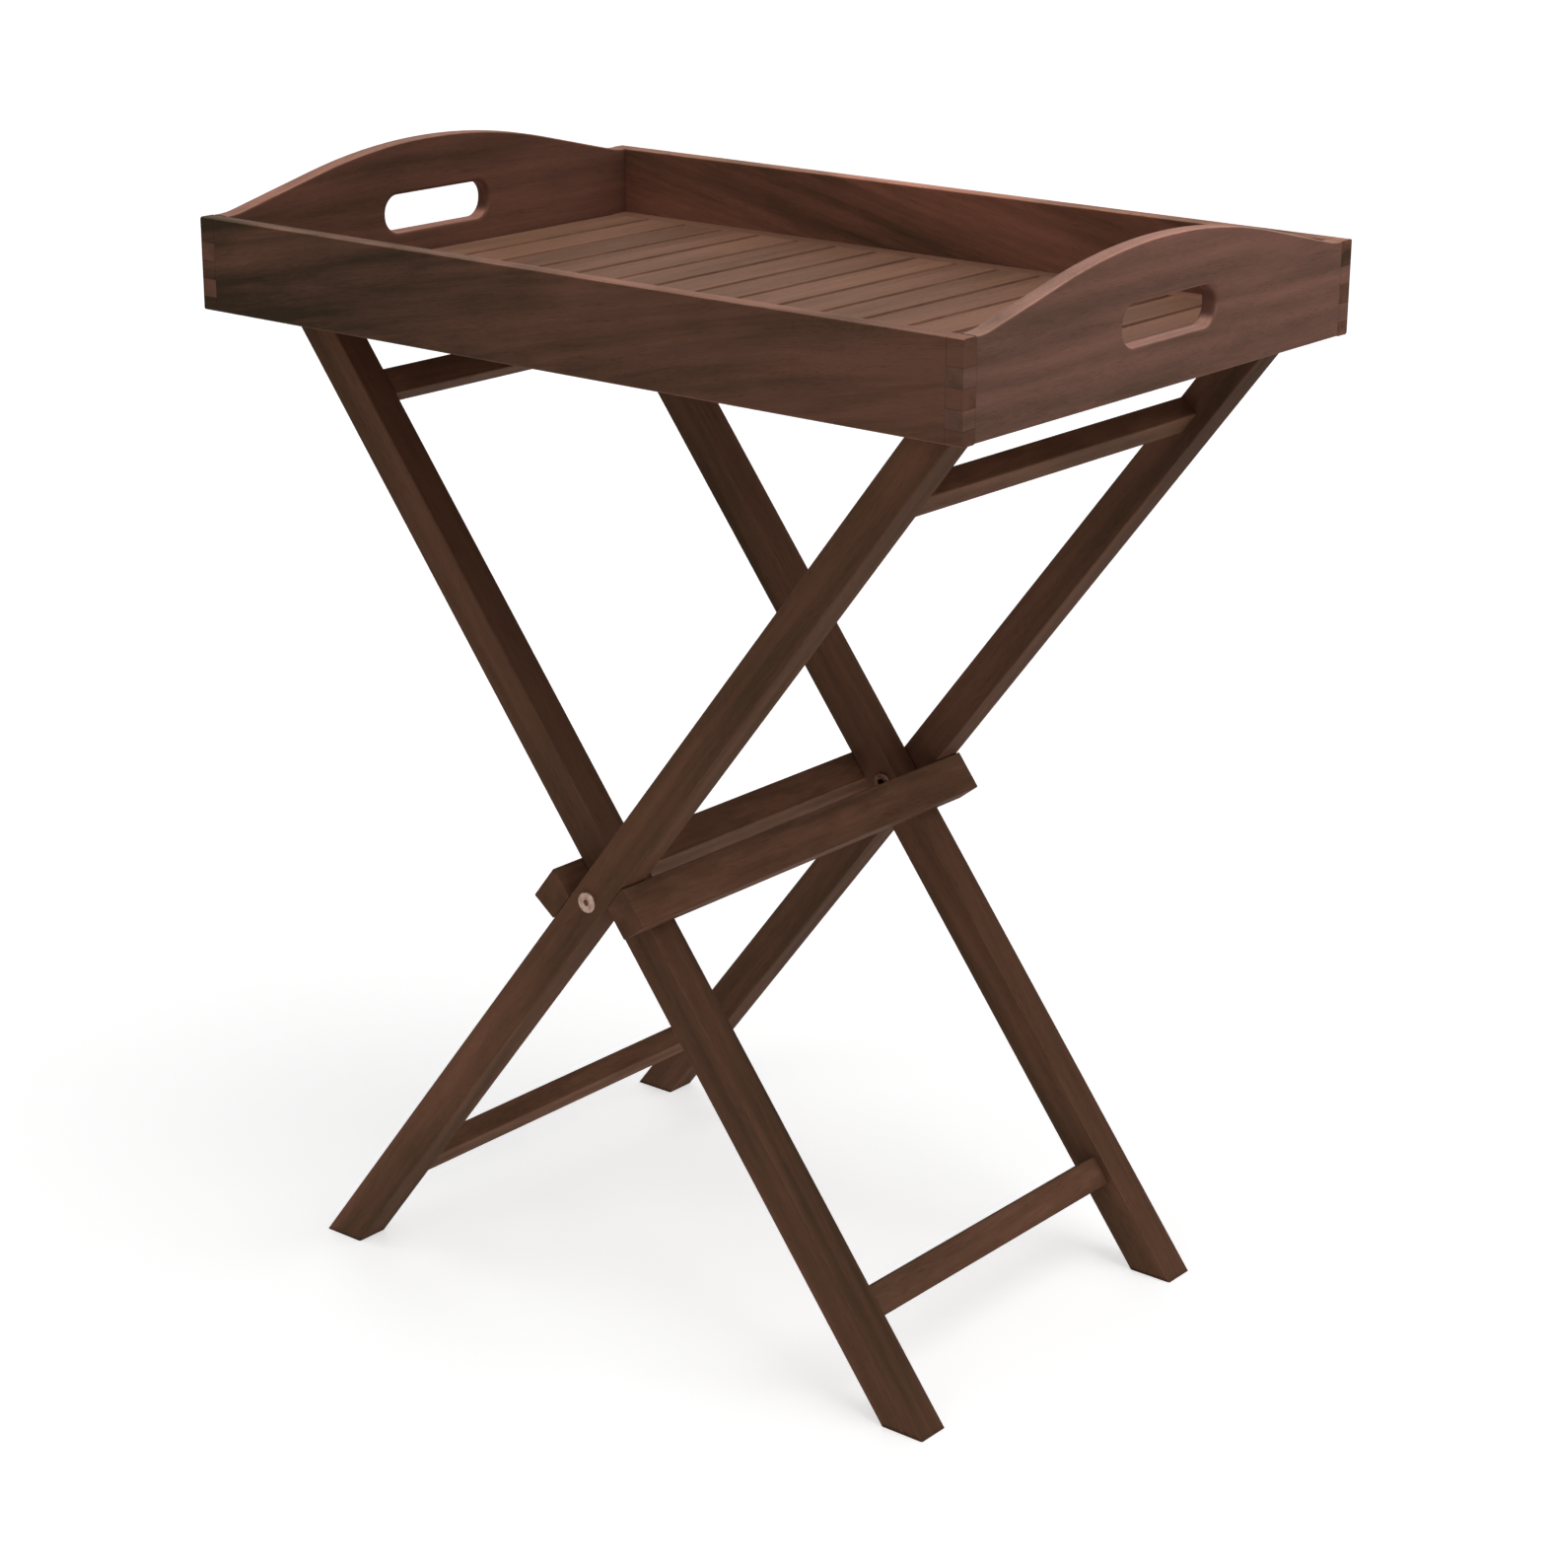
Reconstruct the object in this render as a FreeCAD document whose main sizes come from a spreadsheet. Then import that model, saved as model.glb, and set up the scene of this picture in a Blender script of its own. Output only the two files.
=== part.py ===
import FreeCAD, Part
import os
import Sketcher
from FreeCAD import Rotation, Vector

# Folding tray table: a slatted wooden tray resting on a crossed-leg folding stand.
#
# Millimetres. +X runs along the tray's long side, -Y is the front, +Z is up, and the
# origin is on the floor under the middle of the table.
#
# The stand is two frames that cross at a pivot. The outer frame leans to the right at the
# top and the inner frame, which fits between the outer legs, leans to the left. Each piece
# of a frame is drawn in that frame's own axes: the origin on the pivot line, local Z up
# along the legs and local X square to them. Its Placement then tips it by the leg angle.

# alias, value, meaning
DRIVING_DIMENSIONS = [
    ("tray_length", 610, "outside length of the tray"),
    ("tray_width", 412.5, "outside width of the tray"),
    ("tray_bottom", 654.5, "height of the boards' lower edge above the floor"),
    ("board_height", 60.5, "height of the front and rear boards"),
    ("board_thick", 12, "thickness of the four tray boards"),
    ("board_round", 1.6, "rounding of the boards' long edges"),
    ("finger_count", 5, "fingers of a corner joint, counted up both boards"),
    ("finger_lowest", 9, "height of a corner joint's lowest finger"),
    ("finger_pitch", 11.8, "height of the fingers above it, up to the top one"),
    ("arch_rise", 30.5, "crest of an end board above its corners"),
    ("arch_slope", 13.2, "steepest slope of the arch in degrees"),
    ("crest_radius", 480, "radius of the arch at its crest"),
    ("heel_radius", 60, "radius where the arch runs out level"),
    ("slot_length", 100, "length of a hand slot"),
    ("slot_height", 25, "height of a hand slot"),
    ("slot_corner", 12, "radius of a hand slot's corners"),
    ("slot_centre", 42.5, "hand slot's centre above the boards' lower edge"),
    ("slot_round", 3, "rounding of a hand slot's rim"),
    ("deck_top", 14.5, "top of the deck above the boards' lower edge"),
    ("deck_rail_width", 14.5, "width of the grooved rail at the slats' ends"),
    ("deck_rail_rise", 1.5, "underside of that rail above the boards' lower edge"),
    ("slat_count", 17, "slats in the deck"),
    ("slat_thick", 7, "thickness of a slat"),
    ("slat_gap", 2.6, "gap between two slats"),
    ("slat_edge", 1.1, "bevel along a slat's upper edges"),
    ("tongue_length", 4, "tongue at each end of a slat"),
    ("tongue_thick", 3, "thickness of that tongue"),
    ("pivot_height", 308.2, "pivot line above the floor"),
    ("leg_angle", 37.57, "lean of every leg from upright, in degrees"),
    ("leg_width", 25.6, "leg measured across the pivot, in the plane of the cross"),
    ("leg_thick", 24.5, "leg measured along the pivot"),
    ("leg_round", 1.2, "rounding of the legs' long edges"),
    ("stand_width", 358.5, "outside width over the outer legs"),
    ("frame_gap", 0.8, "gap between an outer and an inner leg"),
    ("seat_gap", 0.2, "gap between a leg's top and the slats above it"),
    ("rail_width", 18.5, "top rail measured along the leg"),
    ("rail_thick", 15.4, "top rail measured across the leg"),
    ("rail_set_in", 0.4, "top rail behind the leg's face that looks into the upper fork"),
    ("outer_rail_reach", 362.5, "outer top rail's middle from the pivot, along the leg"),
    ("inner_rail_reach", 367.8, "inner top rail's middle from the pivot, along the leg"),
    ("rung_width", 21, "foot rung measured along the leg"),
    ("rung_thick", 15, "foot rung measured across the leg"),
    ("rung_reach", 308.8, "foot rung's middle from the pivot, along the leg"),
    ("rail_round", 1, "rounding of the rails' and rungs' long edges"),
    ("tenon_inset", 2.5, "shoulder all round a tenon"),
    ("tenon_gap", 0.5, "space left at a tenon's end"),
    ("stop_depth", 20.2, "stop rail measured across the leg"),
    ("stop_end", 33.2, "stop rail's far edge from the pivot, along the leg"),
    ("stop_gap", 0.4, "gap between a stop rail and the leg it stops"),
    ("dowel_radius", 4, "radius of a stop rail's dowel"),
    ("dowel_length", 24, "length of that dowel, half in the leg"),
    ("dowel_gap", 0.05, "room around a dowel"),
    ("dowel_reach", 20, "dowel from the pivot, along the leg"),
    ("head_radius", 7, "radius of a pivot bolt's or nut's head"),
    ("head_thick", 2, "thickness of that head"),
    ("head_round", 0.7, "rounding of its rim"),
    ("sleeve_radius", 4, "outer radius of the pivot nut's sleeve"),
    ("shank_radius", 3, "radius of the pivot bolt's shank"),
    ("shank_length", 34, "length of that shank"),
    ("pivot_clearance", 0.05, "radial clearance of every fit on the pivot"),
    ("socket_flats", 4, "hexagon socket across its flats"),
    ("socket_depth", 3, "depth of the hexagon socket"),
    ("washer_radius", 9, "outer radius of the washer between two legs"),
    ("washer_gap", 0.1, "washer's clearance from the inner leg"),
]

# Expressions that several sub-parts share. "Dims" is the spreadsheet.
HALF_LEG = "Dims.leg_width / 2"
HALF_THICK = "Dims.leg_thick / 2"
INSIDE_LENGTH = "(Dims.tray_length - 2 * Dims.board_thick)"
INSIDE_WIDTH = "(Dims.tray_width - 2 * Dims.board_thick)"
SLAT_CLEAR_LENGTH = f"({INSIDE_WIDTH} - 2 * Dims.deck_rail_width)"
SLAT_PITCH = f"({INSIDE_LENGTH} / Dims.slat_count)"
LEG_TOP = "(Dims.tray_bottom + Dims.deck_top - Dims.slat_thick - Dims.seat_gap)"
OUTER_LEG_Y = "(Dims.stand_width / 2 - Dims.leg_thick / 2)"
INNER_LEG_Y = "(Dims.stand_width / 2 - 1.5 * Dims.leg_thick - Dims.frame_gap)"
BORE_RADIUS = "(Dims.sleeve_radius + Dims.pivot_clearance)"

# Cuts start or end this far outside the solid, so that they leave no skin.
PAST_FACE = 1
# Two positions this close are the same, when an edge is looked up by its place.
SAME_PLACE = 0.01
# A pocket that removes less than this volume has missed its solid.
LEAST_CUT = 1

doc = FreeCAD.newDocument("folding_tray_table")
sub_parts = []


def make_sheet():
    """Keep the driving dimensions in one spreadsheet, each under its alias."""
    dims = doc.addObject("Spreadsheet::Sheet", "Dims")
    for row, (alias, size, meaning) in enumerate(DRIVING_DIMENSIONS, start=1):
        dims.set(f"A{row}", alias)
        dims.set(f"B{row}", str(size))
        dims.set(f"C{row}", meaning)
        dims.setAlias(f"B{row}", alias)
    doc.recompute()
    return dims


sheet = make_sheet()


def value(expression):
    """The number that an expression gives now."""
    return float(sheet.evalExpression(str(expression)))


# ---------------------------------------------------------------- drawing helpers


def new_body(label):
    """An empty body, the sub-part that bears this label."""
    body = doc.addObject("PartDesign::Body", label)
    body.Label = label
    sub_parts.append(body)
    return body


def sketch_on(body, role, raised_by=None):
    """An empty sketch on one of the body's own origin planes."""
    sketch = body.newObject("Sketcher::SketchObject", f"{body.Name}_sketch")
    plane = next(item for item in body.Origin.OriginFeatures if item.Role == role)
    sketch.AttachmentSupport = [(plane, "")]
    sketch.MapMode = "FlatFace"
    if raised_by:
        sketch.setExpression("AttachmentOffset.Base.z", raised_by)
    return sketch


def bind(sketch, kind, *items):
    """Add a constraint whose size is an expression, the last item."""
    references, expression = items[:-1], items[-1]
    index = sketch.addConstraint(Sketcher.Constraint(kind, *references, value(expression)))
    sketch.setExpression(f"Constraints[{index}]", str(expression))


def pin_start(sketch, edge, corner):
    """Bind the start of an edge to a corner, given as two expressions."""
    bind(sketch, "DistanceX", -1, 1, edge, 1, corner[0])
    bind(sketch, "DistanceY", -1, 1, edge, 1, corner[1])


def join_loop(sketch, edges):
    """Join each edge's end to the next edge's start."""
    for edge, following in zip(edges, edges[1:] + edges[:1]):
        sketch.addConstraint(Sketcher.Constraint("Coincident", edge, 2, following, 1))


def polygon(sketch, corners):
    """A closed loop of straight edges through corners given as expressions."""
    points = [Vector(value(x), value(y), 0) for x, y in corners]
    edges = []
    for start, end in zip(points, points[1:] + points[:1]):
        edges.append(sketch.addGeometry(Part.LineSegment(start, end), False))
    join_loop(sketch, edges)
    for edge, corner in zip(edges, corners):
        pin_start(sketch, edge, corner)


def rectangle(sketch, left, right, low, high):
    """A closed rectangle between four expressions."""
    polygon(sketch, [(left, low), (right, low), (right, high), (left, high)])


def centred_rectangle(sketch, width, height, x="0", y="0"):
    """A closed rectangle of a width and height about a centre."""
    rectangle(sketch, f"{x} - {width} / 2", f"{x} + {width} / 2",
              f"{y} - {height} / 2", f"{y} + {height} / 2")


def circle(sketch, x, y, radius):
    """A circle about a centre given as expressions."""
    centre = Vector(value(x), value(y), 0)
    edge = sketch.addGeometry(Part.Circle(centre, Vector(0, 0, 1), value(radius)), False)
    bind(sketch, "DistanceX", -1, 1, edge, 3, x)
    bind(sketch, "DistanceY", -1, 1, edge, 3, y)
    bind(sketch, "Radius", edge, radius)


def pad(body, sketch, length, symmetric=True):
    """Pad a sketch, about its plane or along its normal."""
    feature = body.newObject("PartDesign::Pad", f"{sketch.Name}_pad")
    feature.Profile = sketch
    feature.SideType = "Symmetric" if symmetric else "One side"
    feature.setExpression("Length", length)
    doc.recompute()
    return feature


def pocket(body, sketch, length, along_normal=False, symmetric=False):
    """Cut a sketch out of the body, and make sure that it did cut."""
    before = body.Shape.Volume
    feature = body.newObject("PartDesign::Pocket", f"{sketch.Name}_pocket")
    feature.Profile = sketch
    feature.SideType = "Symmetric" if symmetric else "One side"
    feature.Reversed = along_normal
    feature.setExpression("Length", length)
    doc.recompute()
    if body.Shape.Volume > before - LEAST_CUT:
        raise RuntimeError(f"{feature.Name} removes nothing from {body.Label}")
    return feature


def dress(body, kind, size_name, size, wanted):
    """Round or bevel the edges of the body's tip that the test wants."""
    doc.recompute()
    base = body.Tip
    names = [f"Edge{i}" for i, edge in enumerate(base.Shape.Edges, start=1) if wanted(edge)]
    feature = body.newObject(kind, f"{body.Name}_edges")
    feature.Base = (base, names)
    feature.setExpression(size_name, size)
    doc.recompute()
    return feature


def round_edges(body, radius, wanted):
    return dress(body, "PartDesign::Fillet", "Radius", radius, wanted)


def bevel_edges(body, size, wanted):
    return dress(body, "PartDesign::Chamfer", "Size", size, wanted)


def edges_along(direction):
    """A test for straight edges that run along a direction."""
    def test(edge):
        if edge.Curve.TypeId != "Part::GeomLine":
            return False
        return abs(edge.Curve.Direction.dot(direction)) > 0.9999
    return test


def tip_with_frame(part, lean, y="0"):
    """Place a part of a frame: on the pivot line, tipped by the leg angle."""
    part.setExpression("Placement.Base.z", "Dims.pivot_height")
    part.setExpression("Placement.Base.y", y)
    part.Placement.Rotation = Rotation(Vector(0, 1, 0), 1)
    part.setExpression("Placement.Rotation.Angle", f"{lean} * Dims.leg_angle")


def mirrored_pair(label, body):
    """One sub-part of two solids: a body and its mirror image across the table."""
    other = doc.addObject("Part::Mirroring", f"{body.Name}_mirror")
    other.Source = body
    other.Normal = Vector(0, 1, 0)
    compound = doc.addObject("Part::Compound", label)
    compound.Label = label
    compound.Links = [body, other]
    sub_parts.remove(body)
    sub_parts.append(compound)


# ---------------------------------------------------------------- tray boards


def finger_edge(number):
    """Height of a corner joint's finger above the boards' lower edge.

    The lowest finger is the smallest, and the top one takes what the others leave.
    """
    if number == 0:
        return "0"
    if number == value("Dims.finger_count"):
        return "Dims.board_height"
    return f"(Dims.finger_lowest + Dims.finger_pitch * {number - 1})"


def cut_corner_joints(body, plane, half_length, first_finger):
    """Notch both ends of a board where the other board's fingers pass through.

    Every second finger is cut away, starting from first_finger.
    """
    sketch = sketch_on(body, plane)
    fingers = range(first_finger, int(value("Dims.finger_count")), 2)
    for finger in fingers:
        low, high = finger_edge(finger), finger_edge(finger + 1)
        inner = f"({half_length} - Dims.board_thick)"
        rectangle(sketch, inner, half_length, low, high)
        rectangle(sketch, f"-{half_length}", f"-{inner}", low, high)
    pocket(body, sketch, f"Dims.board_thick + {PAST_FACE}", symmetric=True)


def long_board(label, side):
    """Front or rear board: straight, with the top, middle and bottom fingers."""
    body = new_body(label)
    sketch = sketch_on(body, "XZ_Plane")
    rectangle(sketch, "-Dims.tray_length / 2", "Dims.tray_length / 2", "0", "Dims.board_height")
    pad(body, sketch, "Dims.board_thick")
    round_edges(body, "Dims.board_round", edges_along(Vector(1, 0, 0)))
    cut_corner_joints(body, "XZ_Plane", "(Dims.tray_length / 2)", 1)
    body.setExpression("Placement.Base.y", f"{side} * (Dims.tray_width - Dims.board_thick) / 2")
    body.setExpression("Placement.Base.z", "Dims.tray_bottom")


def arch_outline(sketch):
    """Outline of an end board: level at its corners, arched between them."""
    sine, cosine = "sin(Dims.arch_slope)", "cos(Dims.arch_slope)"
    half_width = "Dims.tray_width / 2"
    crest_y = f"(Dims.crest_radius * {sine})"
    crest_z = f"(Dims.board_height + Dims.arch_rise - Dims.crest_radius * (1 - {cosine}))"
    heel_z = f"(Dims.board_height + Dims.heel_radius * (1 - {cosine}))"
    heel_y = f"({crest_y} + ({crest_z} - {heel_z}) / tan(Dims.arch_slope))"
    level_y = f"({heel_y} + Dims.heel_radius * {sine})"
    top = "Dims.board_height"

    corners = [
        (f"-{half_width}", "0"), (half_width, "0"), (half_width, top), (level_y, top),
        (heel_y, heel_z), (crest_y, crest_z), (f"-{crest_y}", crest_z),
        (f"-{heel_y}", heel_z), (f"-{level_y}", top), (f"-{half_width}", top),
    ]
    points = [Vector(value(y), value(z), 0) for y, z in corners]
    # An arc bulges up over the crest and sags at the two heels.
    arcs = {3: ("Dims.heel_radius", -1), 5: ("Dims.crest_radius", 1), 7: ("Dims.heel_radius", -1)}
    edges = []
    clockwise = []
    for number, (start, end) in enumerate(zip(points, points[1:] + points[:1])):
        if number not in arcs:
            edges.append(sketch.addGeometry(Part.LineSegment(start, end), False))
            clockwise.append(False)
            continue
        radius, bulge = arcs[number]
        chord = end - start
        half = chord.Length / 2
        sagitta = value(radius) - (value(radius) ** 2 - half ** 2) ** 0.5
        square = Vector(chord.y, -chord.x, 0).normalize()
        middle = (start + end) * 0.5 + square * (bulge * sagitta)
        edges.append(sketch.addGeometry(Part.Arc(start, middle, end), False))
        clockwise.append(bulge < 0)
        bind(sketch, "Radius", edges[-1], radius)

    # Sketch arcs always run anticlockwise, so a sagging one is stored end first.
    starts = [2 if reverse else 1 for reverse in clockwise]
    ends = [1 if reverse else 2 for reverse in clockwise]
    for i, edge in enumerate(edges):
        following = (i + 1) % len(edges)
        sketch.addConstraint(
            Sketcher.Constraint("Coincident", edge, ends[i], edges[following], starts[following]))
        bind(sketch, "DistanceX", -1, 1, edge, starts[i], corners[i][0])
        bind(sketch, "DistanceY", -1, 1, edge, starts[i], corners[i][1])


def rounded_rectangle(sketch, half_length, low, high, corner):
    """A rectangle about local X 0 with quarter-circle corners, between two heights."""
    inner = f"({half_length} - {corner})"
    inner_low, inner_high = f"({low} + {corner})", f"({high} - {corner})"
    # Each corner in turn: its arc's centre, start and end.
    corners = [
        ((inner, inner_low), (inner, low), (half_length, inner_low)),
        ((inner, inner_high), (half_length, inner_high), (inner, high)),
        ((f"-{inner}", inner_high), (f"-{inner}", high), (f"-{half_length}", inner_high)),
        ((f"-{inner}", inner_low), (f"-{half_length}", inner_low), (f"-{inner}", low)),
    ]

    def point(place):
        return Vector(value(place[0]), value(place[1]), 0)

    edges, starts = [], []
    for (centre, start, end), (_, following, _) in zip(corners, corners[1:] + corners[:1]):
        outward = (point(start) + point(end)) * 0.5 - point(centre)
        middle = point(centre) + outward.normalize() * value(corner)
        edges.append(sketch.addGeometry(Part.Arc(point(start), middle, point(end)), False))
        edges.append(sketch.addGeometry(Part.LineSegment(point(end), point(following)), False))
        starts += [start, end]
    join_loop(sketch, edges)
    for edge, start in zip(edges, starts):
        pin_start(sketch, edge, start)
    for arc, (centre, _, _) in zip(edges[::2], corners):
        bind(sketch, "DistanceX", -1, 1, arc, 3, centre[0])


def hand_slot(body):
    """Cut the hand slot through an end board and round its rim on both faces."""
    sketch = sketch_on(body, "YZ_Plane")
    low = "(Dims.slot_centre - Dims.slot_height / 2)"
    high = "(Dims.slot_centre + Dims.slot_height / 2)"
    rounded_rectangle(sketch, "(Dims.slot_length / 2)", low, high, "Dims.slot_corner")
    pocket(body, sketch, f"Dims.board_thick + {PAST_FACE}", symmetric=True)

    reach = value("Dims.slot_length / 2") + SAME_PLACE
    lowest, highest = value(low) - SAME_PLACE, value(high) + SAME_PLACE
    half_board = value("Dims.board_thick / 2")

    def on_rim(edge):
        centre = edge.CenterOfMass
        on_face = abs(abs(centre.x) - half_board) < SAME_PLACE
        return on_face and abs(centre.y) < reach and lowest < centre.z < highest

    round_edges(body, "Dims.slot_round", on_rim)


def end_board(label, side):
    """Left or right board: arched top, hand slot, and the two fingers between."""
    body = new_body(label)
    sketch = sketch_on(body, "YZ_Plane")
    arch_outline(sketch)
    pad(body, sketch, "Dims.board_thick")
    half_board = value("Dims.board_thick / 2")
    half_width = value("Dims.tray_width / 2")

    def long_edge(edge):
        centre = edge.CenterOfMass
        on_face = abs(abs(centre.x) - half_board) < SAME_PLACE
        return on_face and abs(centre.y) < half_width - SAME_PLACE

    round_edges(body, "Dims.board_round", long_edge)
    hand_slot(body)
    cut_corner_joints(body, "YZ_Plane", "(Dims.tray_width / 2)", 0)
    body.setExpression("Placement.Base.x", f"{side} * (Dims.tray_length - Dims.board_thick) / 2")
    body.setExpression("Placement.Base.z", "Dims.tray_bottom")


# ---------------------------------------------------------------- tray deck


def slat(number):
    """One slat of the deck, running front to back, with a tongue at each end."""
    body = new_body(f"deck_slat_{number + 1:02d}")
    width = f"({SLAT_PITCH} - Dims.slat_gap)"
    sketch = sketch_on(body, "XY_Plane")
    centred_rectangle(sketch, width, SLAT_CLEAR_LENGTH)
    pad(body, sketch, "Dims.slat_thick", symmetric=False)
    thickness = value("Dims.slat_thick")
    lengthwise = edges_along(Vector(0, 1, 0))

    def upper_side(edge):
        return lengthwise(edge) and edge.CenterOfMass.z > thickness - SAME_PLACE

    bevel_edges(body, "Dims.slat_edge", upper_side)
    tongue = sketch_on(body, "XY_Plane", raised_by="(Dims.slat_thick - Dims.tongue_thick) / 2")
    centred_rectangle(tongue, width, f"({SLAT_CLEAR_LENGTH} + 2 * Dims.tongue_length)")
    pad(body, tongue, "Dims.tongue_thick", symmetric=False)
    from_left = f"({number} + 0.5) * {SLAT_PITCH}"
    body.setExpression("Placement.Base.x", f"{from_left} - {INSIDE_LENGTH} / 2")
    body.setExpression("Placement.Base.z", "Dims.tray_bottom + Dims.deck_top - Dims.slat_thick")


def deck_rail(label, side):
    """Rail along the front or rear board, grooved for the slats' tongues.

    The section is drawn with the board behind it at positive local Y.
    """
    body = new_body(label)
    sketch = sketch_on(body, "YZ_Plane")
    outer, inner = "Dims.deck_rail_width", "0"
    groove_end = "(Dims.tongue_length + 0.5)"
    groove_low = "(Dims.deck_top - Dims.slat_thick / 2 - Dims.tongue_thick / 2)"
    groove_high = f"({groove_low} + Dims.tongue_thick)"
    section = [
        (outer, "Dims.deck_rail_rise"), (outer, "Dims.deck_top"), (inner, "Dims.deck_top"),
        (inner, groove_high), (groove_end, groove_high), (groove_end, groove_low),
        (inner, groove_low), (inner, "Dims.deck_rail_rise"),
    ]
    polygon(sketch, section)
    pad(body, sketch, INSIDE_LENGTH)
    body.setExpression("Placement.Base.y", f"{side} * {SLAT_CLEAR_LENGTH} / 2")
    body.setExpression("Placement.Base.z", "Dims.tray_bottom")
    if side < 0:
        body.Placement.Rotation = Rotation(Vector(0, 0, 1), 180)


# ---------------------------------------------------------------- stand


RAIL_REACH = {1: "Dims.outer_rail_reach", -1: "Dims.inner_rail_reach"}


def top_rail_section(sketch, lean, inset="0"):
    """Section of a top rail, near the leg's face that looks into the upper fork."""
    thick = f"(Dims.rail_thick - 2 * {inset})"
    middle_x = f"({-lean} * ({HALF_LEG} - Dims.rail_set_in - Dims.rail_thick / 2))"
    width = f"(Dims.rail_width - 2 * {inset})"
    centred_rectangle(sketch, thick, width, middle_x, RAIL_REACH[lean])


def foot_rung_section(sketch, lean, inset="0"):
    """Section of a foot rung, in the middle of the leg in both frames."""
    thick, width = f"(Dims.rung_thick - 2 * {inset})", f"(Dims.rung_width - 2 * {inset})"
    centred_rectangle(sketch, thick, width, "0", "-Dims.rung_reach")


def leg(label, lean, side):
    """One leg, cut level at the foot and the top, mortised, and bored for the pivot.

    lean is +1 for the outer frame and -1 for the inner; side is -1 at the front.
    """
    body = new_body(label)
    sketch = sketch_on(body, "XZ_Plane")

    def level(height, x):
        """Local Z where the leg's edge at local X reaches a height above the floor."""
        drop = f"({lean} * ({x}) * sin(Dims.leg_angle))"
        return f"(({height}) - Dims.pivot_height + {drop}) / cos(Dims.leg_angle)"

    left, right = f"-{HALF_LEG}", HALF_LEG
    polygon(sketch, [(left, level("0", left)), (right, level("0", right)),
                     (right, level(LEG_TOP, right)), (left, level(LEG_TOP, left))])
    pad(body, sketch, "Dims.leg_thick")
    round_edges(body, "Dims.leg_round", edges_along(Vector(0, 0, 1)))

    bore = sketch_on(body, "XZ_Plane")
    circle(bore, "0", "0", BORE_RADIUS)
    pocket(body, bore, f"Dims.leg_thick + {PAST_FACE}", symmetric=True)

    # Mortises reach from the leg's middle to the face that looks at the other leg.
    mortises = sketch_on(body, "XZ_Plane")
    top_rail_section(mortises, lean, inset="Dims.tenon_inset")
    foot_rung_section(mortises, lean, inset="Dims.tenon_inset")
    pocket(body, mortises, f"{HALF_THICK} + {PAST_FACE}", along_normal=side > 0)

    dowel_hole = sketch_on(body, "YZ_Plane")
    circle(dowel_hole, "0", "-Dims.dowel_reach", "Dims.dowel_radius + Dims.dowel_gap")
    pocket(body, dowel_hole, f"{HALF_LEG} + {PAST_FACE}", along_normal=lean < 0)
    tip_with_frame(body, lean, f"{side} * {OUTER_LEG_Y if lean > 0 else INNER_LEG_Y}")


def cross_rail(label, lean, section):
    """A top rail or foot rung between a frame's two legs, tenoned into both."""
    body = new_body(label)
    leg_y = OUTER_LEG_Y if lean > 0 else INNER_LEG_Y
    clear_span = f"(2 * {leg_y} - Dims.leg_thick)"
    sketch = sketch_on(body, "XZ_Plane")
    section(sketch, lean)
    pad(body, sketch, clear_span)
    round_edges(body, "Dims.rail_round", edges_along(Vector(0, 1, 0)))
    tenon = sketch_on(body, "XZ_Plane")
    section(tenon, lean, inset="Dims.tenon_inset")
    pad(body, tenon, f"(2 * {leg_y} - 2 * Dims.tenon_gap)")
    tip_with_frame(body, lean)


def stop_rail(label, lean):
    """Rail by the pivot, as long as the stand is wide, that stops the other frame.

    It is fixed on the lower half of its own legs. Its upper side is planed to lie along
    the other frame's legs when the stand is open.
    """
    body = new_body(label)
    outward = -lean
    near, far = HALF_LEG, f"({HALF_LEG} + Dims.stop_depth)"
    double = "(2 * Dims.leg_angle)"

    def stopped_at(x):
        """How far down the leg the other frame's face is, at a distance across it."""
        return f"(({HALF_LEG} + Dims.stop_gap - {x} * cos({double})) / sin({double}))"

    sketch = sketch_on(body, "XZ_Plane")
    section = [(near, f"-{stopped_at(near)}"), (near, "-Dims.stop_end"),
               (far, "-Dims.stop_end"), (far, f"-{stopped_at(far)}")]
    polygon(sketch, [(f"{outward} * {x}", z) for x, z in section])
    pad(body, sketch, "Dims.stand_width")
    round_edges(body, "Dims.rail_round", edges_along(Vector(0, 1, 0)))

    holes = sketch_on(body, "YZ_Plane")
    leg_y = OUTER_LEG_Y if lean > 0 else INNER_LEG_Y
    for side in (-1, 1):
        circle(holes, f"{side} * {leg_y}", "-Dims.dowel_reach",
               "Dims.dowel_radius + Dims.dowel_gap")
    pocket(body, holes, f"{HALF_LEG} + Dims.dowel_length / 2", along_normal=outward > 0)
    tip_with_frame(body, lean)


def stop_dowels(label, lean):
    """The two dowels between a stop rail and its legs."""
    body = new_body(f"{label}_front")
    outward = -lean
    sketch = sketch_on(body, "YZ_Plane", raised_by=f"{outward} * {HALF_LEG}")
    circle(sketch, "0", "-Dims.dowel_reach", "Dims.dowel_radius")
    pad(body, sketch, "Dims.dowel_length - 2 * Dims.tenon_gap")
    tip_with_frame(body, lean, f"-{OUTER_LEG_Y if lean > 0 else INNER_LEG_Y}")
    mirrored_pair(label, body)


# ---------------------------------------------------------------- pivot hardware


def turned(body, profile):
    """Revolve a profile of (radius, distance along the axis) about the pivot line."""
    sketch = sketch_on(body, "XY_Plane")
    polygon(sketch, profile)
    feature = body.newObject("PartDesign::Revolution", f"{body.Name}_turned")
    feature.Profile = sketch
    feature.ReferenceAxis = (sketch, ["V_Axis"])
    feature.Angle = 360
    doc.recompute()


def at_pivot(body, y):
    """Place a piece of the pivot on its line, at a distance to the front."""
    body.setExpression("Placement.Base.y", y)
    body.setExpression("Placement.Base.z", "Dims.pivot_height")


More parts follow.
